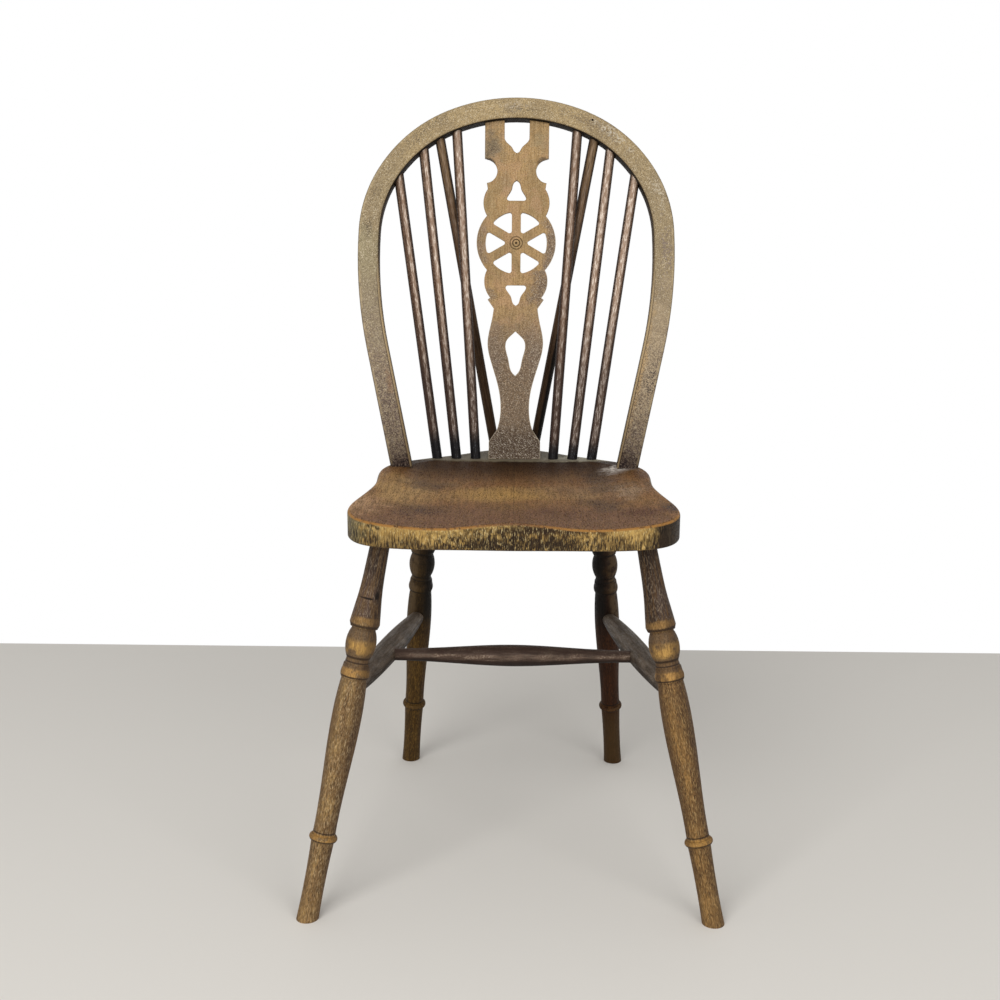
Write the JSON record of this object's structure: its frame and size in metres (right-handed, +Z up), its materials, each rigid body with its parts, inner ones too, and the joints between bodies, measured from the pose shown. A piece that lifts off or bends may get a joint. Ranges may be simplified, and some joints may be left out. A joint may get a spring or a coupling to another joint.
{
  "type": "wheelback chair",
  "caption": "Wooden wheelback chair with a bent bow back, plain spindles, slanted rear braces, a pierced wheel splat, a saddled seat and splayed turned legs joined by stretchers.",
  "frame": {"origin": "on the floor, in the middle of the chair's outer box", "axes": "+Z is up, -Y is the front of the chair, and left is -X"},
  "size_m": [0.4764, 0.4644, 0.9046],
  "materials": {
    "seat_wood": "worn wax over dark stain",
    "bow_wood": "worn wax, paler on the edges",
    "splat_wood": "worn wax",
    "spindle_wood": "dark stain, rubbed pale along the front",
    "brace_wood": "dark stain",
    "leg_wood": "worn wax, golden on the turnings",
    "stretcher_wood": "dark stain, rubbed on top",
    "peg_wood": "bare"
  },
  "bodies": {
    "root": {"seat_board_left": "seat_wood", "seat_board_right": "seat_wood", "seat_joint_dowels": "peg_wood", "back_bow": "bow_wood", "bow_wedge_left": "peg_wood", "bow_wedge_right": "peg_wood", "wheel_splat": "splat_wood", "spindle_left_inner": "spindle_wood", "spindle_left_middle": "spindle_wood", "spindle_left_outer": "spindle_wood", "brace_left": "brace_wood", "spindle_right_inner": "spindle_wood", "spindle_right_middle": "spindle_wood", "spindle_right_outer": "spindle_wood", "brace_right": "brace_wood", "leg_front_left": "leg_wood", "leg_front_right": "leg_wood", "leg_rear_left": "leg_wood", "leg_rear_right": "leg_wood", "side_stretcher_left": "stretcher_wood", "side_stretcher_right": "stretcher_wood", "cross_stretcher": "stretcher_wood"}
  },
  "joints": []
}
